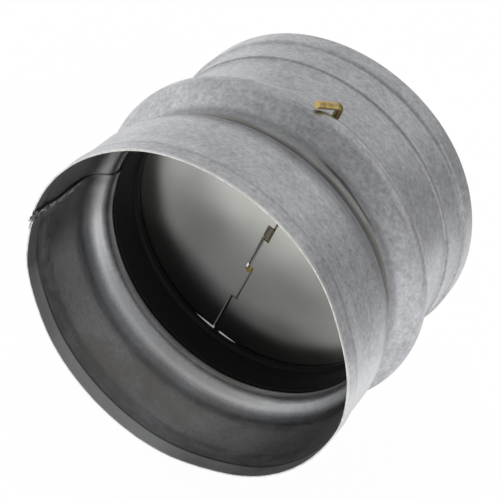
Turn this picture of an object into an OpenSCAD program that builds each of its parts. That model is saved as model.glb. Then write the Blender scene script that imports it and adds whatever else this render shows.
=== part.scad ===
// Butterfly backdraft damper for a round duct.
// The duct axis is Y and the air flows along +Y. The origin is the centre of the inlet rim.
// The hinge rod stands along Z, and the two flaps open downstream about it.

/* [Casing] */
// Outside diameter of both spigots
spigot_d = 124; // [112:1:140]
// Thickness of the galvanised sheet
sheet_t = 0.5; // [0.4:0.05:0.8]
// Straight length of the inlet spigot
inlet_len = 31.4; // [20:0.1:45]
// Depth of the groove's corner below the spigot, before it is rounded
groove_drop = 9; // [6:0.1:9.5]
// Length of the slope from the inlet spigot down to the groove
groove_run = 9; // [8:0.1:13]
// Height of the bead's corner above the spigot, before it is rounded
bead_rise = 5; // [3:0.5:6]
// Length of the slope from the groove up to the bead
bead_run = 10.1; // [10:0.1:15]
// Length of the slope from the bead down to the waist
seat_run = 9; // [8:0.5:12]
// Depth of the waist below the spigot
waist_drop = 1.9; // [1:0.1:2.4]
// Length of the waist
waist_len = 17.5; // [12:0.5:30]
// Depth of the outlet band below the spigot
band_drop = 0.95; // [0.7:0.05:1]
// Length of the outlet band
band_len = 9.5; // [5:0.5:20]
// Length of each small step in the outlet's outline
step_run = 1.6; // [1:0.1:3]
// Length of the outlet's rim zone
rim_len = 6.3; // [4:0.1:12]
// Width of the lap where the sheet is joined to itself
lap_w = 7; // [4:0.5:12]
// Place of the lap's inner edge around the duct, in degrees
lap_at = 178.5; // [160:0.5:200]
// Distance of the lap's ends from the two rims
lap_set = 0.3; // [0.1:0.1:1]

/* [Rounding] */
// Outside rounding where the inlet spigot ends
shoulder_round = 16; // [4:0.5:16]
// Outside rounding in the groove
groove_round = 5; // [3:0.5:6]
// Outside rounding over the bead
bead_round = 4.5; // [3:0.5:6]
// Outside rounding at the foot of the bead
waist_round = 5; // [2:0.5:6]
// Outside rounding of the small steps at the outlet
step_round = 1.6; // [1.2:0.1:3]

/* [Seal] */
// Distance of the seal's front face from the groove's corner
seal_set = 2.3; // [2:0.1:5]
// Distance of the seal's back face from the foot of the bead
seal_back_set = 2; // [1.5:0.1:3]
// How far the seal stands inside the groove
seal_proud = 0.1; // [0:0.05:0.5]
// Height of the lip that the flaps close on
lip_h = 0.6; // [0.2:0.1:1.5]
// Width of the lip
lip_w = 2; // [1:0.5:4]
// Clearance between the seal and the sheet
seal_clear = 0.1; // [0.05:0.05:0.3]

/* [Flaps] */
// Thickness of the aluminium flaps
flap_t = 0.5; // [0.4:0.05:0.8]
// Clearance between the flaps' round edge and the waist
flap_clear = 2.5; // [2.3:0.1:4]
// Width of the strip cut off the round edge at each end of the hinge
end_cut = 1.7; // [1:0.1:3]
// Offset of the flap pair along the rod
hinge_shift = 2; // [0:0.1:2]
// Distance of the flaps' straight edges from the rod axis
edge_gap = 1.6; // [1.6:0.05:2]
// Clearance between the closed flaps and the seal
seat_gap = 0.1; // [0:0.05:0.3]
// Length of the window in the middle, where the spring sits
window_len = 7.2; // [6:0.1:12]
// Length of each inner knuckle
knuckle_len = 14.5; // [10:0.5:15]
// Length of the small slot between two knuckles
slot_len = 3; // [1:0.1:6]
// Side play between neighbouring knuckles
side_play = 0.4; // [0.2:0.05:1]
// Angle that a knuckle's curl leaves open, in degrees
curl_open = 70; // [60:5:120]

/* [Rod] */
// Diameter of the brass hinge rod
rod_d = 2.7; // [2.4:0.05:2.8]
// Radial clearance of the rod in the flaps' knuckles
pin_clear = 0.05; // [0.03:0.01:0.08]
// Radial clearance of the rod in the casing's holes
hole_clear = 0.15; // [0.05:0.05:0.3]
// Bend radius of the rod at its axis
rod_bend_r = 2.5; // [2:0.1:3]
// Length of each bent end, from the rod's axis to the end face
tail_len = 11; // [7:0.1:12]
// Slant of each bent end towards the inlet, in degrees
tail_slant = 60; // [40:1:75]
// Rise of each bent end away from the casing, in degrees
tail_rise = 11; // [5:1:30]
// How much smaller the bent end's radius is than the rod's, since the bend draws it out
tail_thin = 0.02; // [0.02:0.01:0.1]
// Clearance between a bent end and the bead
tail_clear = 0.45; // [0.1:0.05:1]

/* [Spring] */
// Diameter of the spring wire
wire_d = 0.45; // [0.4:0.01:0.5]
// Clearance between the coil and the rod
coil_clear = 0.185; // [0.18:0.005:0.22]
// Pitch of the coil
coil_pitch = 1; // [0.95:0.05:1.5]
// Clearance between the coil and each end of the window
coil_end_clear = 0.35; // [0.2:0.05:0.5]
// Reach of each leg along the back of its flap
leg_reach = 22; // [10:1:30]
// Clearance between a leg's end and its flap
leg_clear = 0.3; // [0.1:0.05:0.5]

/* [Hidden] */

$fn = 180;
// Length by which a cut runs past the solid
overrun = 1;
// Largest share of a straight stretch that one rounding may take, and that the shoulder's rounding may take
round_share = 0.46;
shoulder_share = 0.53;
// Steps in each rounding of the casing's outline
arc_steps = 8;
// Length by which a bent end runs into its bend
bend_lap = 0.1;
// Rings in one turn of the spring, and sides of its wire
coil_rings = 8;
wire_sides = 6;

spigot_r = spigot_d / 2;
rod_r = rod_d / 2;
wire_r = wire_d / 2;

shoulder_y = inlet_len;
groove_y = shoulder_y + groove_run;
bead_y = groove_y + bead_run;
foot_y = bead_y + seat_run;
waist_end_y = foot_y + waist_len;
band_y = waist_end_y + step_run;
band_end_y = band_y + band_len;
rim_y = band_end_y + step_run;
body_len = rim_y + rim_len;

waist_r = spigot_r - waist_drop;
band_r = spigot_r - band_drop;

// Corners of the casing's outside outline: place along the duct, radius, rounding, share
corners = [
    [0, spigot_r, 0, 0],
    [shoulder_y, spigot_r, shoulder_round, shoulder_share],
    [groove_y, spigot_r - groove_drop, groove_round, round_share],
    [bead_y, spigot_r + bead_rise, bead_round, round_share],
    [foot_y, waist_r, waist_round, round_share],
    [waist_end_y, waist_r, step_round, round_share],
    [band_y, band_r, step_round, round_share],
    [band_end_y, band_r, step_round, round_share],
    [rim_y, spigot_r, step_round, round_share],
    [body_len, spigot_r, 0, 0],
];

function corner(i) = [corners[i].x, corners[i].y];
function unit(v) = v / norm(v);
function turned(v, a) = [v.x * cos(a) - v.y * sin(a), v.x * sin(a) + v.y * cos(a)];
function turn_at(a, b, c) =
    let (u = b - a, v = c - b)
    atan2(u.x * v.y - u.y * v.x, u * v);
function rounding(a, b, c, r, share) =
    min(r, share * min(norm(b - a), norm(c - b)) / tan(abs(turn_at(a, b, c)) / 2));

// The rounding of corner b, on the surface that lies d inside the outside outline
function rounded(a, b, c, r, share, d) =
    let (
        t = turn_at(a, b, c),
        s = sign(t),
        fit = rounding(a, b, c, r, share),
        u = unit(b - a),
        n = [-u.y, u.x],
        centre = b - u * fit * tan(abs(t) / 2) + s * fit * n
    )
    [for (k = [0 : arc_steps]) centre - (s * fit + d) * turned(n, t * k / arc_steps)];

// The casing's outline, d inside its outside surface, as [place along the duct, radius]
function outline(d) = concat(
    [[0, spigot_r - d]],
    [
        for (i = [1 : len(corners) - 2])
        each rounded(corner(i - 1), corner(i), corner(i + 1), corners[i].z, corners[i][3], d)
    ],
    [[body_len, spigot_r - d]]
);
function radius_at(y, d) = lookup(y, outline(d));
function between(path, low, high) = concat(
    [[low, lookup(low, path)]],
    [for (p = path) if (p.x > low && p.x < high) p],
    [[high, lookup(high, path)]]
);
function swapped(path) = [for (p = path) [p.y, p.x]];
function reversed(path) = [for (i = [len(path) - 1 : -1 : 0]) path[i]];
function band_between(outer, inner) = concat(swapped(outer), reversed(swapped(inner)));

lap_deg = lap_w / spigot_r * 180 / PI;
lap_clear_deg = seal_clear / spigot_r * 180 / PI;

seal_front_y = groove_y + seal_set;
seal_back_y = foot_y - seal_back_set;
seal_in_r = radius_at(groove_y, sheet_t) - seal_proud;
lip_in_r = seal_in_r - lip_h;
lip_y = seal_back_y - lip_w;

bore_r = rod_r + pin_clear;
knuckle_r = bore_r + flap_t;
flap_front_y = seal_back_y + seat_gap;
rod_y = flap_front_y + knuckle_r;
flap_r = waist_r - sheet_t - flap_clear;
half_len = flap_r - end_cut;

// Ends of the knuckles, measured from the middle of the hinge
inner_from = window_len / 2;
inner_to = inner_from + knuckle_len;
mid_from = inner_to + slot_len;
mid_to = mid_from + knuckle_len;
outer_from = mid_to + side_play;

// The bent ends rise over the bead, so their height follows the bead's outline below them
tail_reach = tail_len * cos(tail_rise) + rod_r * sin(tail_rise);
tail_low_y = rod_y - tail_reach * sin(tail_slant) - rod_r * cos(tail_slant);
tail_slope = tan(tail_rise) / sin(tail_slant);
tail_gap = (rod_r + tail_clear) * norm([1, tail_slope]);
bend_reach = rod_bend_r * tan((90 - tail_rise) / 2);
tail_z = max(
    radius_at(rod_y - rod_r - hole_clear, 0) + tail_clear + bend_reach,
    max([for (p = between(outline(0), tail_low_y, rod_y)) p.y - (rod_y - p.x) * tail_slope]) + tail_gap
);
rod_straight = tail_z - bend_reach;

coil_r = rod_r + coil_clear + wire_r;
coil_turns = floor((window_len - 2 * coil_end_clear - wire_d) / coil_pitch);
leg_end = [leg_reach, -bore_r + leg_clear + wire_r];
// Angle around the rod at which a leg leaves the coil
leg_off = atan2(leg_end.y, leg_end.x) + acos(coil_r / norm(leg_end));
coil_sweep = 360 * coil_turns + 180 - 2 * leg_off;
coil_half_len = coil_pitch * coil_sweep / 720;
coil_steps = coil_turns * coil_rings;

// The wire's centre line, around the rod's axis: one leg, the coil, and the other leg
wire_path = concat(
    [[leg_end.x, leg_end.y, coil_half_len]],
    [
        for (i = [0 : coil_steps])
        let (share = i / coil_steps, a = leg_off + coil_sweep * share)
        [coil_r * cos(a), coil_r * sin(a), coil_half_len * (1 - 2 * share)]
    ],
    [[-leg_end.x, leg_end.y, -coil_half_len]]
);

function wire_way(i) = unit(wire_path[min(i + 1, len(wire_path) - 1)] - wire_path[max(i - 1, 0)]);
function wire_ring(i) =
    let (way = wire_way(i), side = unit(cross(way, [0, 0, 1])), up = cross(side, way))
    [
        for (k = [0 : wire_sides - 1])
        let (a = 360 * k / wire_sides)
        wire_path[i] + wire_r * (cos(a) * side + sin(a) * up)
    ];

// Least gap between points of the wire that are half a turn or more apart along it
wire_gap = min([
    for (i = [0 : len(wire_path) - 1])
    for (j = [i + coil_rings / 2 : 1 : len(wire_path) - 1])
    norm(wire_path[i] - wire_path[j]) - wire_d
]);
echo(least_gap_of_the_spring_wire = wire_gap);

// A surface of revolution about the duct axis, from a section of [radius, place along the duct]
module about_duct(section, from = 0, sweep = 360) {
    rotate([-90, 0, 0])
        rotate([0, 0, from])
            rotate_extrude(angle = sweep)
                polygon(section);
}

// The strip of sheet that lies inside the wall at the lap, grown by a clearance
module lap(clear = 0, clear_deg = 0) {
    low = lap_set;
    high = body_len - lap_set;
    about_duct(
        band_between(
            between(outline(sheet_t / 2), low, high),
            between(outline(2 * sheet_t + clear), low, high)
        ),
        lap_at - lap_deg - clear_deg,
        lap_deg + 2 * clear_deg
    );
}

module casing() {
    color("silver")
        difference() {
            union() {
                about_duct(band_between(outline(0), outline(sheet_t)));
                lap();
            }
            translate([0, rod_y, 0])
                cylinder(h = spigot_d + 2 * bead_rise, r = rod_r + hole_clear, center = true);
        }
}

module seal_ring() {
    back = between(outline(sheet_t + seal_clear), seal_front_y, seal_back_y);
    bore = [
        [lip_in_r, seal_back_y],
        [lip_in_r, lip_y],
        [seal_in_r, lip_y - lip_h],
        [seal_in_r, seal_front_y],
    ];
    color("dimgray")
        difference() {
            about_duct(concat(swapped(back), bore));
            lap(seal_clear, lap_clear_deg);
        }
}

// Half of the rod: from its middle to the end face of its bent end
module rod_half() {
    cylinder(h = rod_straight, r = rod_r);
    translate([rod_bend_r, 0, rod_straight])
        rotate([90, 0, 0]) {
            rotate([0, 0, 180])
                rotate_extrude(angle = tail_rise - 90)
                    translate([rod_bend_r, 0])
                        circle(r = rod_r);
            rotate([0, 0, 90 + tail_rise])
                translate([rod_bend_r, bend_lap, 0])
                    rotate([90, 0, 0])
                        cylinder(h = tail_len - bend_reach + bend_lap, r = rod_r - tail_thin);
        }
}

module pivot_rod() {
    color("goldenrod")
        translate([0, rod_y, 0])
            for (side = [0, 180])
                rotate([0, side, 0])
                    rotate([0, 0, 180 + tail_slant])
                        rod_half();
}

// One knuckle: the flap's tongue from the rod's axis to the straight edge, and its curl
module knuckle(from, to) {
    translate([0, -knuckle_r, from])
        cube([edge_gap + overrun, flap_t, to - from]);
    translate([0, 0, from])
        rotate([0, 0, -90])
            rotate_extrude(angle = curl_open - 360)
                translate([bore_r, 0])
                    square([flap_t, to - from]);
}

// The flap on the +X side, around the rod's axis
module flap() {
    translate([0, -knuckle_r, 0])
        intersection() {
            rotate([-90, 0, 0])
                cylinder(h = flap_t, r = flap_r);
            translate([edge_gap, 0, -half_len])
                cube([flap_r, flap_t, 2 * half_len]);
        }
    knuckle(-inner_to, -inner_from);
    knuckle(mid_from, mid_to);
    knuckle(-half_len, -outer_from);
}

module right_flap() {
    color("lightgray")
        translate([0, rod_y, hinge_shift])
            flap();
}

module left_flap() {
    color("gainsboro")
        translate([0, rod_y, hinge_shift])
            rotate([0, 180, 0])
                flap();
}

module closing_spring() {
    rings = len(wire_path);
    last = (rings - 1) * wire_sides;
    color("slategray")
        translate([0, rod_y, hinge_shift])
            polyhedron(
                points = [for (i = [0 : rings - 1]) each wire_ring(i)],
                faces = concat(
                    [for (k = [1 : wire_sides - 2]) [0, k, k + 1]],
                    [
                        for (i = [0 : rings - 2], k = [0 : wire_sides - 1])
                        let (a = i * wire_sides + k, b = i * wire_sides + (k + 1) % wire_sides)
                        each [[a, a + wire_sides, b], [b, a + wire_sides, b + wire_sides]]
                    ],
                    [for (k = [1 : wire_sides - 2]) [last, last + k + 1, last + k]]
                )
            );
}

casing();
seal_ring();
pivot_rod();
left_flap();
right_flap();
closing_spring();
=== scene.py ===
# Looks of a butterfly backdraft damper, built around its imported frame.
# The duct axis is Y, the air flows along +Y, and the hinge rod stands along Z. Lengths are in metres.

import math
import random

import bpy
import numpy as np
from mathutils import Matrix, Vector


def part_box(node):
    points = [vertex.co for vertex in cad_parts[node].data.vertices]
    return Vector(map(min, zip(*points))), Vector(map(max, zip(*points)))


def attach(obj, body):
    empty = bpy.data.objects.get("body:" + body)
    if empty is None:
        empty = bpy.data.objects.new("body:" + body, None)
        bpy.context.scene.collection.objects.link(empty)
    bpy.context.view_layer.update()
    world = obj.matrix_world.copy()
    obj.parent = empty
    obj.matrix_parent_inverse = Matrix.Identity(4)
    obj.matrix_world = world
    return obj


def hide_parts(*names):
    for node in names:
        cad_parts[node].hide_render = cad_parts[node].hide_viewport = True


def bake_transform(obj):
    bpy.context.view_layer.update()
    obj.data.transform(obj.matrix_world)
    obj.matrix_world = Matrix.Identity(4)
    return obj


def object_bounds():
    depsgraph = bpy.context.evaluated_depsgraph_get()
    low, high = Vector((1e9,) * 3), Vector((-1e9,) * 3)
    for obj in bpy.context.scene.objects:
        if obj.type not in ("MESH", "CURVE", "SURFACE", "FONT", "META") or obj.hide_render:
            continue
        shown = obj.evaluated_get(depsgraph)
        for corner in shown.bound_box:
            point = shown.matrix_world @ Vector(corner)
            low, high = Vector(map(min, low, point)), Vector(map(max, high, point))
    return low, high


MM = 0.001

# Sheet casing
SPIGOT_R = 62 * MM
SHEET_T = 0.5 * MM
SHOULDER_Y = 31.4 * MM
GROOVE_Y = 40.4 * MM
GROOVE_DROP = 9 * MM
BEAD_Y = 50.5 * MM
BEAD_RISE = 5 * MM
FOOT_Y = 59.5 * MM
WAIST_DROP = 1.9 * MM
WAIST_END_Y = 77 * MM
BAND_DROP = 0.95 * MM
STEP_RUN = 1.6 * MM
BAND_LEN = 9.5 * MM
SHOULDER_ROUND = 16 * MM
GROOVE_ROUND = 5 * MM
BEAD_ROUND = 4.5 * MM
WAIST_ROUND = 5 * MM
STEP_ROUND = 1.6 * MM
ROUND_SHARE = 0.46
SHOULDER_SHARE = 0.53
ARC_STEPS = 12
OUTLINE_STEP = 0.8 * MM
SAME_PLACE = 0.0001 * MM
SWEEP_STEPS = 420
INSIDE_SLOPE = 0.2

# Zone that was rolled outwards behind each rim, and the rims' own shape
SWELL_Y = 5.6 * MM
SWELL_END_Y = 12.5 * MM
INLET_SWELL = 0.75 * MM
OUTLET_SWELL = 0.45 * MM
SWELL_AT_RIM = 0.9
EDGE_BEVEL = 0.08 * MM
RIM_FADE = 30 * MM

# Height of the sheet's waves round the duct, in mm
LONG_WAVE = 0.05
SHORT_WAVE = 0.03

# Fine creases beside the outlet band, sunk into both faces of the sheet: place along the duct and depth
CREASES = [(77.8 * MM, 0.07 * MM), (88.4 * MM, 0.06 * MM)]
CREASE_W = 0.35 * MM
CREASE_ROOM = 1.2 * CREASE_W
CREASE_POINTS = (-1, -0.5, 0, 0.5, 1)

# Dents of the two rims: degrees round the duct, depth in mm (negative inwards), half width in degrees
INLET_DENTS = [
    (50, -1.3, 15),
    (148, -0.8, 13),
    (84, 0.5, 9),
    (-131, -0.35, 9),
    (-34, 0.3, 12),
    (-113, 0.25, 7),
]
OUTLET_DENTS = [(-70, -0.5, 22), (35, 0.3, 20), (120, -0.6, 18), (-150, 0.3, 15)]

# Lap where the sheet is joined to itself, its angles in degrees round the duct
LAP_EDGE_DEG = -91.5
LAP_DEG = 7
LAP_GAP = 0.06 * MM
LAP_LIFT = 0.6 * MM
LAP_RISE_DEG = 14
LAP_LIFT_DEG = 6
LAP_LOOSE_SHARE = 0.4
LAP_PRESSED_Y = 0.8 * SHOULDER_Y

# Seal
SEAL_FRONT_Y = 42.7 * MM
SEAL_BACK_Y = 57.5 * MM
SEAL_R = 55 * MM
LIP_R = 53.95 * MM
LIP_W = 2 * MM
SEAL_CLEAR = 0.12 * MM
SEAL_EDGE = 0.35 * MM
SEAL_FRONT_EDGE = 1.5 * SEAL_EDGE
SEAL_ARC_STEPS = 5
SEAL_STEPS = 240

# Rod and spring
ROD_Y = 59.5 * MM
HINGE_Z = 2 * MM
KNUCKLE_BORE_R = 1.4 * MM
WIRE_R = 0.225 * MM
WIRE_SIDES = 10
COIL_R = 1.76 * MM
COIL_TURNS = 6
COIL_PITCH = 1 * MM
LEG_REACH = 22 * MM
LEG_CLEAR = 0.3 * MM
LEG_BEND = 5 * MM
COIL_STEPS = 90
LEG_STEPS = 16
# Angle in radians by which a leg leaves the coil late, so that it passes the other flap's edge
LEG_LATE = 0.25

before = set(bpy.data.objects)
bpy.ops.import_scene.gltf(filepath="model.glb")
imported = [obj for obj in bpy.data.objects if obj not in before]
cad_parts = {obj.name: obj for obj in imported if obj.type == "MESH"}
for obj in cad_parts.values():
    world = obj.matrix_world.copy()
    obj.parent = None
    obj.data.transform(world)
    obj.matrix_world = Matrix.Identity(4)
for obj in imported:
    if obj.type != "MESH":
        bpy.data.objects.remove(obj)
cad_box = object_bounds()
BODY_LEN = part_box("casing")[1].y


# Small helpers for meshes
def link(name, mesh):
    made = bpy.data.objects.new(name, mesh)
    bpy.context.scene.collection.objects.link(made)
    return made


def mesh_object(name, points, faces, smooth_deg=35):
    mesh = bpy.data.meshes.new(name)
    mesh.from_pydata([tuple(p) for p in points], [], faces)
    mesh.validate()
    mesh.update()
    mesh.shade_smooth()
    mesh.set_sharp_from_angle(angle=math.radians(smooth_deg))
    return link(name, mesh)


def smoothstep(low, high, value):
    t = np.clip((value - low) / (high - low), 0, 1)
    return t * t * (3 - 2 * t)


# Small helpers for outlines and paths
def unit(v):
    return v / np.linalg.norm(v)


def bend_at(a, b, c):
    """Direction of the path into its corner b, and the angle by which it turns there."""
    into, away = unit(b - a), unit(c - b)
    return into, math.atan2(into[0] * away[1] - into[1] * away[0], into @ away)


def arc(corner, into, turn, radius, steps):
    """Points of the arc that rounds a corner."""
    side = math.copysign(1, turn)
    normal = np.array([-into[1], into[0]])
    centre = corner - into * radius * math.tan(abs(turn) / 2) + side * radius * normal
    points = []
    for k in range(steps + 1):
        a = turn * k / steps
        spun = np.array([
            normal[0] * math.cos(a) - normal[1] * math.sin(a),
            normal[0] * math.sin(a) + normal[1] * math.cos(a),
        ])
        points.append(centre - side * radius * spun)
    return points


def fillet(a, b, c, radius, share):
    """Rounding of corner b that takes at most a share of the stretches beside it."""
    into, turn = bend_at(a, b, c)
    room = share * min(np.linalg.norm(b - a), np.linalg.norm(c - b))
    return arc(b, into, turn, min(radius, room / math.tan(abs(turn) / 2)), ARC_STEPS)


# The casing's outline as [place along the duct, radius], with each corner rounded by its own radius
def casing_outline():
    waist_r = SPIGOT_R - WAIST_DROP
    band_r = SPIGOT_R - BAND_DROP
    band_y = WAIST_END_Y + STEP_RUN
    band_end_y = band_y + BAND_LEN
    corners = [
        (0, SPIGOT_R, 0),
        (SHOULDER_Y, SPIGOT_R, SHOULDER_ROUND),
        (GROOVE_Y, SPIGOT_R - GROOVE_DROP, GROOVE_ROUND),
        (BEAD_Y, SPIGOT_R + BEAD_RISE, BEAD_ROUND),
        (FOOT_Y, waist_r, WAIST_ROUND),
        (WAIST_END_Y, waist_r, STEP_ROUND),
        (band_y, band_r, STEP_ROUND),
        (band_end_y, band_r, STEP_ROUND),
        (band_end_y + STEP_RUN, SPIGOT_R, STEP_ROUND),
        (BODY_LEN, SPIGOT_R, 0),
    ]
    at = [np.array(c[:2]) for c in corners]
    path = [at[0]]
    for i in range(1, len(corners) - 1):
        share = SHOULDER_SHARE if i == 1 else ROUND_SHARE
        path += fillet(at[i - 1], at[i], at[i + 1], corners[i][2], share)
    path.append(at[-1])
    dense = [path[0]]
    for a, b in zip(path, path[1:]):
        parts = max(1, math.ceil(np.linalg.norm(b - a) / OUTLINE_STEP))
        dense += [a + (b - a) * k / parts for k in range(1, parts + 1)]
    apart = [b for a, b in zip(dense, dense[1:]) if np.linalg.norm(b - a) > SAME_PLACE]
    keep = np.array([dense[0]] + apart)
    creases = np.array([y for y, _ in CREASES])
    near = [y + CREASE_W * k for y in creases for k in CREASE_POINTS]
    away = keep[np.min(np.abs(keep[:, :1] - creases), axis=1) > CREASE_ROOM]
    places = np.sort(np.concatenate([away[:, 0], near]))
    return np.stack([places, np.interp(places, keep[:, 0], keep[:, 1])], axis=1)


def outline_normals(path):
    way = np.gradient(path, axis=0)
    way /= np.linalg.norm(way, axis=1)[:, None]
    return np.stack([-way[:, 1], way[:, 0]], axis=1)


# How far the sheet departs from its outline
def bump_round(angle, at, half_width):
    off = (angle - at + 180) % 360 - 180
    return np.exp(-((off / half_width) ** 2))


def dents(angle, rim):
    return sum(depth * bump_round(angle, at, width) for at, depth, width in rim)


def out_of_round(angle, y):
    near = (1 - smoothstep(0, RIM_FADE, y)) * dents(angle, INLET_DENTS)
    far = (1 - smoothstep(0, RIM_FADE, BODY_LEN - y)) * dents(angle, OUTLET_DENTS)
    long_wave = LONG_WAVE * np.sin(np.radians(3 * angle + 40)) * np.sin(y / BODY_LEN * 7)
    short_wave = SHORT_WAVE * np.sin(np.radians(7 * angle))
    return (near + far + long_wave + short_wave) * MM


def swell(y):
    from_rim = np.minimum(y, BODY_LEN - y)
    rise = SWELL_AT_RIM + (1 - SWELL_AT_RIM) * np.clip(from_rim / SWELL_Y, 0, 1)
    fall = 1 - smoothstep(SWELL_Y, SWELL_END_Y, from_rim)
    return rise * fall * np.where(y < BODY_LEN / 2, INLET_SWELL, OUTLET_SWELL)


def crease(y):
    return sum(depth * np.clip(1 - np.abs(y - at) / CREASE_W, 0, 1) for at, depth in CREASES)


def lap_offset(turned, y):
    """Radial offset of the sheet, turned degrees from its inner end."""
    pressed = 1 - smoothstep(LAP_DEG, LAP_DEG + LAP_RISE_DEG, turned)
    at_shoulder = (1 - LAP_LOOSE_SHARE) * smoothstep(LAP_PRESSED_Y, SHOULDER_Y, y)
    at_seal = LAP_LOOSE_SHARE * smoothstep(SEAL_FRONT_Y - MM, SEAL_FRONT_Y, y)
    lift = (1 - smoothstep(0, LAP_LIFT_DEG, turned)) * (1 - at_shoulder - at_seal)
    return -pressed * (SHEET_T + LAP_GAP) - lift * LAP_LIFT


# One sheet, swept round the duct from its inner end to its outer end
def sheet_section():
    outer = casing_outline()
    normals = outline_normals(outer)
    inner = outer - normals * SHEET_T
    bevel = np.array([0, EDGE_BEVEL])
    rim_in = [inner[0] + bevel, outer[0] - bevel]
    rim_out = [outer[-1] - bevel, inner[-1] + bevel]
    for side in (outer, inner):
        side[0][0] += EDGE_BEVEL
        side[-1][0] -= EDGE_BEVEL
    return np.vstack([rim_in[1:], outer, rim_out, inner[::-1], rim_in[:1]]), len(outer)


def build_casing():
    section, outer_count = sheet_section()
    n = len(section)
    points = []
    along = section[:, 0]
    # The outside is the outer outline, with one rim point before it and two after it
    outside_count = outer_count + 3
    into_sheet = np.where(np.arange(n) < outside_count, -1, 1)
    even = section[:, 1] + swell(along) + into_sheet * crease(along)
    for k in range(SWEEP_STEPS + 1):
        turned = (360 + LAP_DEG) * k / SWEEP_STEPS
        angle = LAP_EDGE_DEG - turned
        r = even + out_of_round(angle, along) + lap_offset(turned, along)
        a = math.radians(angle)
        points.append(np.stack([r * math.sin(a), along, r * math.cos(a)], axis=1))
    faces = []
    for k in range(SWEEP_STEPS):
        for i in range(n):
            j = (i + 1) % n
            faces.append((k * n + i, k * n + j, (k + 1) * n + j, (k + 1) * n + i))
    last = SWEEP_STEPS * n
    for i in range(n // 2 - 1):
        a, b, c, d = i, i + 1, n - 2 - i, n - 1 - i
        faces.append((d, c, b, a))
        faces.append((last + a, last + b, last + c, last + d))
    made = mesh_object("casing_sheet", np.vstack(points), faces, 30)
    mesh = made.data
    mesh.materials.append(galvanised("galvanised_outside", inside=False))
    mesh.materials.append(galvanised("galvanised_inside", inside=True))
    mesh.materials.append(cut_edge())
    outside, inside, edge = 0, 1, 2
    for f in mesh.polygons:
        c = f.center
        at_rim = min(c.y, BODY_LEN - c.y) < EDGE_BEVEL
        faces_in = f.normal.x * c.x + f.normal.z * c.z < -INSIDE_SLOPE * math.hypot(c.x, c.z)
        f.material_index = edge if at_rim else inside if faces_in else outside
    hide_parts("casing")
    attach(made, "casing")


# Small helpers for materials
class Shader:
    def __init__(self, name, world=None):
        owner = world or bpy.data.materials.new(name)
        owner.use_nodes = True
        self.owner = owner
        self.tree = owner.node_tree
        self.tree.nodes.clear()

    def add(self, kind, inputs=None, **settings):
        made = self.tree.nodes.new(kind)
        for key, value in settings.items():
            setattr(made, key, value)
        for key, value in (inputs or {}).items():
            socket = made.inputs[key]
            if isinstance(value, bpy.types.NodeSocket):
                self.tree.links.new(value, socket)
            else:
                socket.default_value = value
        return made

    def math(self, operation, *values):
        return self.add("ShaderNodeMath", dict(enumerate(values)), operation=operation).outputs[0]

    def place(self):
        return self.add("ShaderNodeTexCoord").outputs["Object"]

    def scaled(self, vector, scale):
        made = self.add("ShaderNodeMapping", {"Vector": vector, "Scale": scale})
        return made.outputs["Vector"]

    def noise(self, vector, scale, detail, roughness, distortion=0.0):
        made = self.add("ShaderNodeTexNoise", {
            "Vector": vector,
            "Scale": scale,
            "Detail": detail,
            "Roughness": roughness,
            "Distortion": distortion,
        })
        return made.outputs["Fac"]

    def ramp(self, value, low, high, to_low=0.0, to_high=1.0, smooth=True):
        made = self.add("ShaderNodeMapRange", {
            "Value": value,
            "From Min": low,
            "From Max": high,
            "To Min": to_low,
            "To Max": to_high,
        }, interpolation_type="SMOOTHSTEP" if smooth else "LINEAR")
        return made.outputs["Result"]

    def spread(self, pattern, low, high):
        """The usual range of a noise pattern, laid evenly from low to high."""
        return self.ramp(pattern, 0.3, 0.7, low, high, False)

    def varied(self, patterns):
        """A tone round 1 from noise patterns, each with its own depth."""
        tone = 1.0
        for pattern, depth in patterns:
            tone = self.math("ADD", tone, self.spread(pattern, -depth, depth))
        return tone

    def product(self, value, *others):
        for other in others:
            value = self.math("MULTIPLY", value, other)
        return value

    def rise(self, value, place, depth=1.0):
        """Rises from nothing at the first place in mm to depth at the second."""
        start, full = (edge * MM for edge in place)
        return self.ramp(value, start, full, 0.0, depth)

    def band(self, value, place, depth=1.0):
        """Rises between the first two places in mm, and falls between the last two."""
        start, full, fading, end = place
        return self.product(self.rise(value, (start, full), depth), self.rise(value, (end, fading)))

    def near(self, at, point, reach, depth):
        """Full depth in the middle fifth of the reach round a point, and fading out to the reach."""
        away = self.add("ShaderNodeVectorMath", {0: at, 1: point}, operation="DISTANCE")
        return self.ramp(away.outputs["Value"], reach, reach / 5, 0.0, depth)

    def toward(self, at, way):
        dot = self.add("ShaderNodeVectorMath", {0: at, 1: way}, operation="DOT_PRODUCT")
        return dot.outputs["Value"]

    def axes(self, at):
        apart = self.add("ShaderNodeSeparateXYZ", {"Vector": at})
        return apart.outputs["X"], apart.outputs["Y"], apart.outputs["Z"]

    def mix(self, factor, a, b, blend="MIX"):
        made = self.tree.nodes.new("ShaderNodeMix")
        made.data_type = "RGBA"
        made.blend_type = blend
        for socket, value in zip((made.inputs[0], made.inputs[6], made.inputs[7]), (factor, a, b)):
            if isinstance(value, bpy.types.NodeSocket):
                self.tree.links.new(value, socket)
            else:
                socket.default_value = value
        return made.outputs[2]

    def toned(self, colour, tone):
        even = self.add("ShaderNodeCombineColor", {"Red": tone, "Green": tone, "Blue": tone})
        return self.mix(1.0, colour, even.outputs[0], "MULTIPLY")

    def bump(self, height, strength, distance, normal=None):
        inputs = {"Height": height, "Strength": strength, "Distance": distance}
        if normal is not None:
            inputs["Normal"] = normal
        return self.add("ShaderNodeBump", inputs).outputs["Normal"]

    def surface(self, **inputs):
        named = {key.replace("_", " "): value for key, value in inputs.items()}
        shader = self.add("ShaderNodeBsdfPrincipled", named)
        self.add("ShaderNodeOutputMaterial", {"Surface": shader.outputs[0]})
        return self.owner


def grey(value, tint=(1.0, 1.0, 1.0)):
    return (value * tint[0], value * tint[1], value * tint[2], 1.0)


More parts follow.
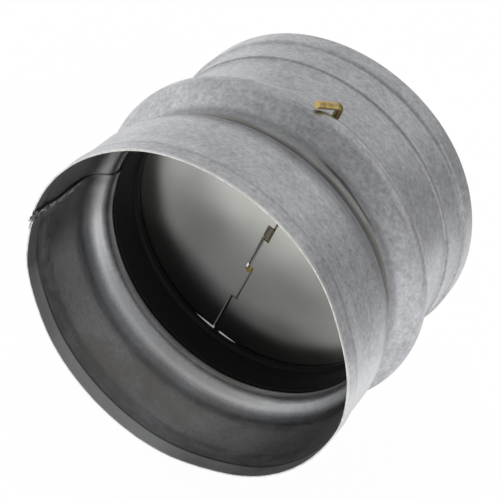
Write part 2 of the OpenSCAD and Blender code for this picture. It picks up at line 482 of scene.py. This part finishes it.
# Zinc: its colours, some of them painted light and shade, places in mm, and bands of painted light and
# shade as place along the duct in mm, depth and colour
ZINC = 0.56
ZINC_TINT = (0.975, 0.985, 1.02)
STAIN = (0.27, 0.262, 0.24, 1.0)
INSIDE_STAIN = (0.36, 0.325, 0.285, 1.0)
# Painted highlight: the zinc inside the inlet rim zone is made lighter where the rolled zone catches the
# light
INSIDE_RIM_PAINTED_LIGHT = (0.92, 0.94, 0.95, 1.0)
# Painted light: the inside wall is made lighter towards the left (-X)
INSIDE_LEFT_PAINTED_LIGHT = (0.90, 0.90, 0.89, 1.0)
# Inside bands, all painted: a painted shade line at the crease where the rolled rim zone ends, painted
# shade ahead of the inner rib, and two painted highlights along the rib
INSIDE_SHADE_AND_HIGHLIGHT_BANDS = [
    ((5.0, 5.4, 5.9, 6.4), 0.60, (0.10, 0.10, 0.10, 1.0)),
    ((28.0, 29.6, 31.8, 33.3), 0.48, (0.15, 0.156, 0.16, 1.0)),
    ((32.6, 34.0, 35.6, 37.5), 0.28, (0.86, 0.87, 0.87, 1.0)),
    ((33.3, 34.1, 34.6, 35.5), 0.40, (0.95, 0.96, 0.96, 1.0)),
]
INSIDE_RIM_PLACE = (5.6, 5.0)
INSIDE_LEFT_PLACE = (-48, -60)
INSIDE_CONTRAST = 0.7
# Painted highlight: the outside is made lighter along the inlet rim
RIM_PAINTED_HIGHLIGHT = (0.92, 0.92, 0.90, 1.0)
RIM_HIGHLIGHT_PLACE = (1.3, 0.5)
# Painted light: the outside of the inlet spigot is made lighter on its right (+X)
RIGHT_PAINTED_LIGHT = (0.95, 0.96, 0.96, 1.0)
RIGHT_PLACE = (56.5, 61.5)
SPIGOT_PLACE = (32, 22)
SCRATCH = (0.07, 0.07, 0.07, 1.0)
SCRATCH_PLACE = (41.6, 42.0, 42.5, 43.0)
SCRATCH_WAY = (0.375, 0.0, 0.927)
SCRATCH_REACH = (53.5, 55.5)
GROOVE_PLACE = (32.5, 35.2, 41.2, 42.2)
CREST_PLACE = (48.5, 52.0, 54.5, 57.5)
# Outside bands, all painted shade: ahead of the inlet shoulder, on the groove's back slope, a line where
# the rolled inlet rim zone ends, and lines at the two outlet creases
OUTSIDE_SHADE_BANDS = [
    ((24.3, 28.0, 29.8, 31.8), 0.36, (0.10, 0.10, 0.105, 1.0)),
    ((41.2, 42.0, 43.0, 44.6), 0.55, (0.22, 0.23, 0.245, 1.0)),
    ((5.0, 5.5, 6.0, 6.5), 0.22, (0.12, 0.12, 0.12, 1.0)),
    ((77.4, 77.8, 78.2, 78.6), 0.36, (0.12, 0.12, 0.125, 1.0)),
    ((88.2, 88.6, 89.0, 89.4), 0.20, (0.12, 0.12, 0.125, 1.0)),
]


# Marks inside the sheet: random stains, and painted light and shade
def inside_marks_and_painted_light(s, at, zinc):
    x, y, _ = s.axes(at)
    patch = s.ramp(s.noise(at, 24.0, 4.0, 0.6, 0.4), 0.50, 0.68)
    zinc = s.mix(s.product(patch, 0.45), zinc, INSIDE_STAIN)
    # painted highlight inside the inlet rim zone
    zinc = s.mix(s.rise(y, INSIDE_RIM_PLACE, 0.85), zinc, INSIDE_RIM_PAINTED_LIGHT)
    # painted shade and painted highlights in bands along the duct
    for place, depth, colour in INSIDE_SHADE_AND_HIGHLIGHT_BANDS:
        zinc = s.mix(s.band(y, place, depth), zinc, colour)
    # painted light on the left of the inside wall
    return s.mix(s.rise(x, INSIDE_LEFT_PLACE, 0.45), zinc, INSIDE_LEFT_PAINTED_LIGHT)


# Marks outside the sheet: stain in the groove, a scratch, scuffs on the crest, and painted light and shade
def outside_marks_and_painted_light(s, at, zinc):
    x, y, _ = s.axes(at)
    worn = s.ramp(s.noise(s.scaled(at, (60.0, 700.0, 60.0)), 1.0, 4.0, 0.65), 0.36, 0.62, 0.6, 1.0)
    zinc = s.mix(s.product(s.band(y, GROOVE_PLACE), worn), zinc, STAIN)
    # painted shade in bands along the duct
    for place, depth, colour in OUTSIDE_SHADE_BANDS:
        zinc = s.mix(s.band(y, place, depth), zinc, colour)
    upper = s.rise(s.toward(at, SCRATCH_WAY), SCRATCH_REACH)
    broken = s.ramp(s.noise(s.scaled(at, (25.0, 300.0, 25.0)), 1.0, 3.0, 0.5), 0.48, 0.56)
    zinc = s.mix(s.product(s.band(y, SCRATCH_PLACE), upper, broken, 0.8), zinc, SCRATCH)
    scuff = s.ramp(s.noise(s.scaled(at, (90.0, 260.0, 90.0)), 1.0, 5.0, 0.7), 0.46, 0.66)
    zinc = s.mix(s.product(s.band(y, CREST_PLACE), scuff, 0.35), zinc, STAIN)
    # painted highlight along the inlet rim
    zinc = s.mix(s.rise(y, RIM_HIGHLIGHT_PLACE, 0.5), zinc, RIM_PAINTED_HIGHLIGHT)
    # painted light on the right of the inlet spigot
    right = s.product(s.rise(x, RIGHT_PLACE, 0.4), s.rise(y, SPIGOT_PLACE))
    return s.mix(right, zinc, RIGHT_PAINTED_LIGHT)


def galvanised(name, inside):
    s = Shader(name)
    at = s.place()
    spangle = s.add("ShaderNodeTexVoronoi", {"Vector": at, "Scale": 700.0, "Randomness": 1.0})
    grain = s.add("ShaderNodeSeparateColor", {"Color": spangle.outputs["Color"]}).outputs[0]
    fine = s.noise(s.scaled(at, (700.0, 1300.0, 700.0)), 1.0, 2.0, 0.6)
    mottle = s.noise(s.scaled(at, (250.0, 540.0, 250.0)), 1.0, 4.0, 0.6)
    cloud = s.noise(at, 60.0, 3.0, 0.5)
    lines = s.noise(s.scaled(at, (22.0, 1500.0, 22.0)), 1.0, 3.0, 0.6)
    part = INSIDE_CONTRAST if inside else 1.0
    tone = s.varied([(mottle, 0.11 * part), (fine, 0.15 * part), (cloud, 0.08), (lines, 0.045 * part)])
    tone = s.math("ADD", tone, s.ramp(grain, 0, 1, -0.07 * part, 0.07 * part, False))
    zinc = s.toned(grey(ZINC, ZINC_TINT), tone)
    zinc = inside_marks_and_painted_light(s, at, zinc) if inside else outside_marks_and_painted_light(s, at, zinc)
    rough = s.math("ADD", s.spread(mottle, 0.30, 0.40), s.spread(lines, -0.03, 0.03))
    normal = s.bump(lines, 0.12, 0.06 * MM)
    normal = s.bump(mottle, 0.10, 0.10 * MM, normal)
    return s.surface(Base_Color=zinc, Metallic=1.0, Roughness=rough, Normal=normal)


# Cut edge of the sheet: bare metal, made paler and less metallic than it is, as a painted highlight
def cut_edge():
    s = Shader("cut_edge_with_painted_highlight")
    cloud = s.noise(s.place(), 300.0, 3.0, 0.6)
    dark, light = (0.62, 0.62, 0.60, 1.0), (0.88, 0.88, 0.84, 1.0)
    colour = s.mix(s.ramp(cloud, 0.35, 0.65), dark, light)
    return s.surface(Base_Color=colour, Metallic=0.25, Roughness=0.55)


# Flaps: colours, and patches of painted light and shade as (X, Z) and reach in mm, depth and colour
FLAP_GREY = (0.60, 0.597, 0.562, 1.0)
FLAP_PAINTED_SHADE = (0.10, 0.10, 0.095, 1.0)
FLAP_PAINTED_LIGHT = (0.90, 0.90, 0.88, 1.0)
FLAP_PAINTED_PATCHES = [
    ((2, -10), 22, 0.42, FLAP_PAINTED_SHADE),
    ((6, -26), 34, 0.60, FLAP_PAINTED_LIGHT),
    ((22, -6), 18, 0.35, FLAP_PAINTED_SHADE),
    ((-29, 3), 22, 0.35, FLAP_PAINTED_LIGHT),
]
# Painted shade: the flaps are made darker towards their rim, low down
FLAP_MIDDLE_R = 45
FLAP_LOWER_SHADE_PLACE = (-20, -34)


def aluminium():
    s = Shader("flap_aluminium_finish")
    at = s.place()
    brushed = s.noise(s.scaled(at, (500.0, 500.0, 30.0)), 1.0, 3.0, 0.6)
    cloud = s.noise(at, 32.0, 3.0, 0.5)
    sheet = s.toned(FLAP_GREY, s.varied([(brushed, 0.015), (cloud, 0.05)]))
    flat = s.scaled(at, (1.0, 0.0, 1.0))
    # painted light and painted shade in patches on the flaps
    for (x, z), reach, depth, colour in FLAP_PAINTED_PATCHES:
        sheet = s.mix(s.near(flat, (x * MM, 0.0, z * MM), reach * MM, depth), sheet, colour)
    # painted shade on the lower outer part of the flaps
    middle = s.near(flat, (0.0, 0.0, 0.0), FLAP_MIDDLE_R * MM, 1.0)
    outer = s.ramp(s.math("SUBTRACT", 1.0, middle), 0.6, 0.95)
    lower = s.rise(s.axes(at)[2], FLAP_LOWER_SHADE_PLACE, 0.5)
    sheet = s.mix(s.product(outer, lower), sheet, FLAP_PAINTED_SHADE)
    waves = s.bump(s.noise(at, 22.0, 1.0, 0.5), 1.0, 1.2 * MM)
    return s.surface(Base_Color=sheet, Metallic=1.0, Roughness=s.spread(cloud, 0.22, 0.27), Normal=waves)


def rubber():
    s = Shader("seal_rubber_finish")
    at = s.place()
    fine = s.noise(at, 700.0, 3.0, 0.6)
    dust = s.ramp(s.noise(s.scaled(at, (40.0, 160.0, 40.0)), 1.0, 4.0, 0.65), 0.52, 0.75)
    black, dusty = (0.0062, 0.0062, 0.0062, 1.0), (0.014, 0.0135, 0.013, 1.0)
    colour = s.mix(s.product(dust, 0.35), black, dusty)
    rough = s.spread(fine, 0.55, 0.68)
    grained = s.bump(fine, 0.15, 0.1 * MM)
    return s.surface(Base_Color=colour, Roughness=rough, Specular_IOR_Level=0.25, Normal=grained)


# Rod: where its tarnish and painted shade set in, in mm: along Z outside the casing, and along Y towards
# the outlet
ROD_END_PLACE = (59, 60)
ROD_SHADE_PLACE = (57, 58.8)


def brass():
    s = Shader("rod_brass_finish")
    at = s.place()
    _, y, z = s.axes(at)
    cloud = s.noise(at, 420.0, 4.0, 0.6)
    drawn = s.noise(s.scaled(at, (1500.0, 1500.0, 60.0)), 1.0, 3.0, 0.6)
    dull, bright, tarnish_and_painted_shade = (0.50, 0.35, 0.11, 1.0), (0.70, 0.56, 0.27, 1.0), (0.09, 0.075, 0.03, 1.0)
    colour = s.mix(s.ramp(cloud, 0.35, 0.7), dull, bright)
    # darker outside the casing on the outlet side: tarnish, and painted shade where the rod comes out of
    # the casing
    outside = s.rise(s.math("ABSOLUTE", z), ROD_END_PLACE)
    shaded = s.rise(y, ROD_SHADE_PLACE)
    colour = s.mix(s.product(outside, shaded, 0.7), colour, tarnish_and_painted_shade)
    rough = s.math("ADD", s.spread(cloud, 0.24, 0.40), s.spread(drawn, -0.03, 0.03))
    return s.surface(Base_Color=colour, Metallic=1.0, Roughness=rough, Normal=s.bump(drawn, 0.1, 0.04 * MM))


def spring_steel():
    s = Shader("spring_steel_finish")
    cloud = s.noise(s.place(), 900.0, 3.0, 0.6)
    colour = s.mix(cloud, (0.30, 0.29, 0.27, 1.0), (0.46, 0.45, 0.43, 1.0))
    return s.surface(Base_Color=colour, Metallic=1.0, Roughness=s.spread(cloud, 0.25, 0.36))


def weld_metal(name, light):
    s = Shader(name)
    cloud = s.noise(s.place(), 900.0, 4.0, 0.7)
    burnt = (0.03, 0.027, 0.022, 1.0)
    colour = s.mix(s.ramp(cloud, 0.44, 0.56), burnt, grey(light, (1.0, 0.98, 0.93)))
    rough = s.spread(cloud, 0.35, 0.6)
    return s.surface(Base_Color=colour, Metallic=0.8, Roughness=rough, Normal=s.bump(cloud, 0.5, 0.3 * MM))


# The seal: one moulded ring with a rounded front edge and a lip at the back
def lathe(name, section, steps, smooth_deg):
    n = len(section)
    points = []
    for k in range(steps):
        a = 2 * math.pi * k / steps
        points += [(r * math.sin(a), y, r * math.cos(a)) for y, r in section]
    faces = []
    for k in range(steps):
        m = (k + 1) % steps
        faces += [(k * n + i, m * n + i, m * n + (i + 1) % n, k * n + (i + 1) % n) for i in range(n)]
    return mesh_object(name, points, faces, smooth_deg)


def build_seal():
    outline = casing_outline()
    inner = outline - outline_normals(outline) * (SHEET_T + SEAL_CLEAR)
    back = [p for p in inner if SEAL_FRONT_Y + SEAL_EDGE < p[0] < SEAL_BACK_Y - SEAL_EDGE]
    front_r = float(np.interp(SEAL_FRONT_Y, inner[:, 0], inner[:, 1]))
    back_r = float(np.interp(SEAL_BACK_Y, inner[:, 0], inner[:, 1]))
    lip_front_y = SEAL_BACK_Y - LIP_W
    corners = [
        (SEAL_BACK_Y, back_r, 0),
        (SEAL_BACK_Y, LIP_R, SEAL_EDGE),
        (lip_front_y, LIP_R, SEAL_EDGE),
        (lip_front_y - (SEAL_R - LIP_R), SEAL_R, SEAL_EDGE),
        (SEAL_FRONT_Y, SEAL_R, SEAL_FRONT_EDGE),
        (SEAL_FRONT_Y, front_r, 0),
    ]
    at = [np.array(c[:2]) for c in corners]
    bore = [at[0]]
    for i in range(1, len(corners) - 1):
        into, turn = bend_at(at[i - 1], at[i], at[i + 1])
        bore += arc(at[i], into, turn, corners[i][2], SEAL_ARC_STEPS)
    bore.append(at[-1])
    made = lathe("rubber_seal", [tuple(p) for p in back + bore], SEAL_STEPS, 50)
    made.data.materials.append(rubber())
    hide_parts("seal_ring")
    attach(made, "casing")


# The closing spring: each half of its coil runs from the rod to the flap that its leg presses on
def wire_tube(name, path, radius):
    sides = WIRE_SIDES
    points, faces = [], []
    path = [np.array(p) for p in path]
    for i, p in enumerate(path):
        way = unit(path[min(i + 1, len(path) - 1)] - path[max(i - 1, 0)])
        side = unit(np.cross(way, [0, 0, 1]))
        up = np.cross(side, way)
        for k in range(sides):
            a = 2 * math.pi * k / sides
            points.append(p + radius * (math.cos(a) * side + math.sin(a) * up))
    for i in range(len(path) - 1):
        for k in range(sides):
            m = (k + 1) % sides
            faces.append((i * sides + k, (i + 1) * sides + k, (i + 1) * sides + m, i * sides + m))
    faces.append(tuple(range(sides)))
    faces.append(tuple(reversed(range((len(path) - 1) * sides, len(path) * sides))))
    return mesh_object(name, points, faces, 60)


def build_spring():
    leg = np.array([LEG_REACH, -KNUCKLE_BORE_R + LEG_CLEAR + WIRE_R])
    off = math.atan2(leg[1], leg[0]) + math.acos(COIL_R / np.linalg.norm(leg)) - LEG_LATE
    sweep = 2 * math.pi * COIL_TURNS + math.pi - 2 * off
    half_len = COIL_PITCH * sweep / (4 * math.pi)
    steel = spring_steel()
    for name, body, side in (("spring_upper", "right_flap", 1), ("spring_lower", "left_flap", -1)):
        coil = []
        for i in range(COIL_STEPS + 1):
            share = i / COIL_STEPS / 2
            a = off + sweep * share
            coil.append((COIL_R * math.cos(a), COIL_R * math.sin(a), half_len * (1 - 2 * share)))
        first = Vector(coil[0])
        end = Vector((leg[0], leg[1], half_len))
        bend = first + LEG_BEND * Vector((math.sin(off), -math.cos(off), 0))
        shares = [k / LEG_STEPS for k in range(LEG_STEPS)]
        path = [tuple(end.lerp(bend, s).lerp(bend.lerp(first, s), s)) for s in shares] + coil
        if side < 0:
            path = [(-x, y, -z) for x, y, z in path]
        path = [(x, ROD_Y + y, HINGE_Z + z) for x, y, z in path]
        made = wire_tube(name, path, WIRE_R)
        made.data.materials.append(steel)
        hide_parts("closing_spring")
        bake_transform(made)


# Torn corner of the sheet at the inlet rim: its edge and middle as (X, Z) in mm
TORN_EDGE = [
    (-62.6, -0.3), (-61.9, -0.5), (-61.3, 0.4), (-60.6, -0.6), (-60.9, -1.9),
    (-60.5, -3.1), (-61.1, -3.8), (-61.2, -5.2), (-62.0, -5.3), (-63.1, -6.6),
    (-62.7, -5.2), (-62.9, -4.2), (-62.3, -3.0), (-62.5, -1.7),
]
TORN_MIDDLE = (-61.7, -2.4)
# Places along the duct in mm: the edge's front, which is uneven, the edge's back, and the middle
TORN_FRONT_Y = (-0.25, 0.15)
TORN_BACK_Y = 0.55
TORN_MIDDLE_Y = (-0.35, 0.6)


def build_burr():
    rng = random.Random(5)
    n = len(TORN_EDGE)
    mid_x, mid_z = TORN_MIDDLE
    mid_front, mid_back = TORN_MIDDLE_Y
    front = [(x, rng.uniform(*TORN_FRONT_Y), z) for x, z in TORN_EDGE] + [(mid_x, mid_front, mid_z)]
    back = [(x, TORN_BACK_Y, z) for x, z in TORN_EDGE] + [(mid_x, mid_back, mid_z)]
    points = [tuple(v * MM for v in p) for p in front + back]
    faces = []
    for i in range(n):
        j = (i + 1) % n
        faces += [(j, i, n), (i + n + 1, j + n + 1, 2 * n + 1), (i, j, j + n + 1, i + n + 1)]
    made = mesh_object("torn_corner", points, faces, 20)
    made.data.materials.append(weld_metal("torn_finish", 0.16))
    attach(made, "casing")


# Rough joint along the lap's inner edge: a row of small flat beads, lengths and sizes in mm
SEAM_BEADS = 70
SEAM_FROM = 0.8
SEAM_LEN = 24
SEAM_UNEVEN = 0.35
SEAM_TURNED_DEG = (-0.1, 1.8)
BEAD_SIZES = (0.2, 0.7)
BEAD_ROUGH = (0.75, 1.25)
BEAD_LONG = 1.3
BEAD_WIDE = 0.8
BEAD_HIGH = 0.35
BEAD_SINK = 0.05
BEAD_RINGS = 4
BEAD_SIDES = 8


def bead(rng, centre, size, first):
    """Points and faces of one bead on the inside of the sheet, its points numbered from first."""
    inward = -unit(np.array([centre[0], 0, centre[2]]))
    along = np.array([0, 1.0, 0])
    across = np.cross(inward, along)
    points, faces = [], []
    for i in range(BEAD_RINGS):
        lift = math.sin(math.pi / 2 * i / BEAD_RINGS)
        wide = math.cos(math.pi / 2 * i / BEAD_RINGS)
        for j in range(BEAD_SIDES):
            a = 2 * math.pi * j / BEAD_SIDES
            reach = wide * size * rng.uniform(*BEAD_ROUGH)
            points.append(
                centre + inward * (lift * size * BEAD_HIGH - BEAD_SINK * MM)
                + along * math.cos(a) * reach * BEAD_LONG
                + across * math.sin(a) * reach * BEAD_WIDE
            )
    points.append(centre + inward * size * BEAD_HIGH)
    for i in range(BEAD_RINGS - 1):
        q = first + i * BEAD_SIDES
        for j in range(BEAD_SIDES):
            m = (j + 1) % BEAD_SIDES
            faces.append((q + j, q + m, q + BEAD_SIDES + m, q + BEAD_SIDES + j))
    top = first + BEAD_RINGS * BEAD_SIDES
    q = top - BEAD_SIDES
    faces += [(q + j, q + (j + 1) % BEAD_SIDES, top) for j in range(BEAD_SIDES)]
    faces.append(tuple(reversed(range(first, first + BEAD_SIDES))))
    return points, faces


def build_seam():
    rng = random.Random(11)
    points, faces = [], []
    for k in range(SEAM_BEADS):
        even_y = SEAM_FROM + SEAM_LEN * k / (SEAM_BEADS - 1)
        y = (even_y + rng.uniform(-SEAM_UNEVEN, SEAM_UNEVEN)) * MM
        turned = rng.uniform(*SEAM_TURNED_DEG)
        angle = math.radians(LAP_EDGE_DEG - turned)
        r = SPIGOT_R + lap_offset(turned, y) + float(swell(y)) - SHEET_T
        size = rng.uniform(*BEAD_SIZES) * MM
        centre = np.array([r * math.sin(angle), y, r * math.cos(angle)])
        more_points, more_faces = bead(rng, centre, size, len(points))
        points += more_points
        faces += more_faces
    made = mesh_object("seam_beads", points, faces, 60)
    made.data.materials.append(weld_metal("seam_finish", 0.70))
    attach(made, "casing")


# Finishes of the nodes that keep their own shape
def finish_nodes():
    finishes = {"pivot_rod": brass(), "left_flap": aluminium()}
    finishes["right_flap"] = finishes["left_flap"]
    for name, material in finishes.items():
        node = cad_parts[name]
        for slot in node.material_slots:
            slot.material = material


# Camera at the photograph's angle
CAMERA_AT = Vector((79.27, -330.66, 362.62)) * MM
CAMERA_RIGHT = Vector((0.78829, 0.50477, 0.35186))
CAMERA_DOWN = Vector((0.59637, -0.48603, -0.63884))
SENSOR_W = 36.0
FOCAL_PX = 1506.8
FRAME_PX = 500.0


def build_camera():
    data = bpy.data.cameras.new("camera")
    data.sensor_width = SENSOR_W
    data.sensor_fit = "HORIZONTAL"
    data.lens = FOCAL_PX / FRAME_PX * SENSOR_W
    data.clip_start = 0.01
    data.clip_end = 20.0
    camera = link("camera", data)
    up = -CAMERA_DOWN
    back = CAMERA_RIGHT.cross(up)
    turn = Matrix((CAMERA_RIGHT, up, back)).transposed().to_4x4()
    camera.matrix_world = Matrix.Translation(CAMERA_AT) @ turn
    bpy.context.scene.camera = camera


# Studio: pale floor, soft lamps and a world with a dark side near the photographer
FLOOR_HALF = 3.0
FLOOR_GAP = 0.05 * MM
FLOOR_SHOWN = 0.97
FLOOR_MIRRORED = 0.6
FLOOR_DIM_WAY = (0.62, 0.78, 0.0)
# Darker sides of the world: the way towards each, the cosine from which it darkens, and its depth
DARK_FRONT = ((0.15, -0.71, 0.68), 0.35, 0.42)
DARK_BACK = ((0.65, 0.75, 0.12), 0.80, 0.50)
# Lamps: name, place, size and power
LAMPS = [
    ("lamp_high_left", (-0.7, 0.1, 1.1), 0.9, 9.0),
    ("lamp_front_right", (0.8, -0.7, 0.9), 0.8, 6.0),
]
LAMP_AIM = (0.0, 0.045, 0.0)


def build_floor():
    s = Shader("floor_white")
    path = s.add("ShaderNodeLightPath").outputs
    shown = s.math("MAXIMUM", path["Is Camera Ray"], path["Is Transmission Ray"])
    mirrored = s.product(path["Is Glossy Ray"], FLOOR_MIRRORED)
    dim = s.ramp(s.toward(s.place(), FLOOR_DIM_WAY), 0.27, 0.9, 0.0, 0.5)
    tone = s.math("SUBTRACT", 1.0, s.product(path["Is Glossy Ray"], dim))
    white = s.add("ShaderNodeEmission", {"Color": (1, 1, 1, 1), "Strength": tone})
    paper = s.add("ShaderNodeBsdfDiffuse", {"Color": s.mix(tone, (0, 0, 0, 1), (0.9, 0.9, 0.9, 1))})
    mixed = s.add("ShaderNodeMixShader", {
        0: s.math("MAXIMUM", s.product(shown, FLOOR_SHOWN), mirrored),
        1: paper.outputs[0],
        2: white.outputs[0],
    })
    s.add("ShaderNodeOutputMaterial", {"Surface": mixed.outputs[0]})
    low = cad_box[0].z - FLOOR_GAP
    corners = [(x * FLOOR_HALF, y * FLOOR_HALF, low) for x, y in ((-1, -1), (1, -1), (1, 1), (-1, 1))]
    floor = mesh_object("floor", corners, [(0, 1, 2, 3)])
    floor.data.materials.append(s.owner)


def darkened(s, level, way, side):
    toward, start, depth = side
    turned_to = s.toward(way, Vector(toward).normalized())
    return s.product(level, s.ramp(turned_to, start, 1.0, 1.0, 1.0 - depth))


def build_world():
    world = bpy.data.worlds.new("studio")
    bpy.context.scene.world = world
    s = Shader("studio", world)
    way = s.add("ShaderNodeTexCoord").outputs["Generated"]
    z = s.axes(way)[2]
    path = s.add("ShaderNodeLightPath").outputs
    level = s.ramp(z, -0.05, 0.30, 0.95, 0.62)
    level = darkened(s, level, way, DARK_FRONT)
    low_glossy = s.product(path["Is Glossy Ray"], s.ramp(z, 0.12, -0.02))
    level = s.math("MAXIMUM", level, low_glossy)
    level = darkened(s, level, way, DARK_BACK)
    seen = s.math("MAXIMUM", path["Is Camera Ray"], path["Is Transmission Ray"])
    level = s.math("ADD", s.product(level, s.math("SUBTRACT", 1.0, seen)), seen)
    back = s.add("ShaderNodeBackground", {"Color": (1, 1, 1, 1), "Strength": level})
    s.add("ShaderNodeOutputWorld", {"Surface": back.outputs[0]})


def build_lamp(name, at, size, power):
    data = bpy.data.lights.new(name, "AREA")
    data.shape = "DISK"
    data.size = size
    data.energy = power
    lamp = link(name, data)
    lamp.location = at
    lamp.rotation_mode = "QUATERNION"
    lamp.rotation_quaternion = (Vector(LAMP_AIM) - Vector(at)).to_track_quat("-Z", "Y")
    lamp.visible_glossy = False


build_casing()
build_seal()
build_spring()
build_seam()
build_burr()
finish_nodes()
build_camera()
build_floor()
build_world()
for lamp in LAMPS:
    build_lamp(*lamp)
bpy.context.scene.view_settings.view_transform = "Standard"
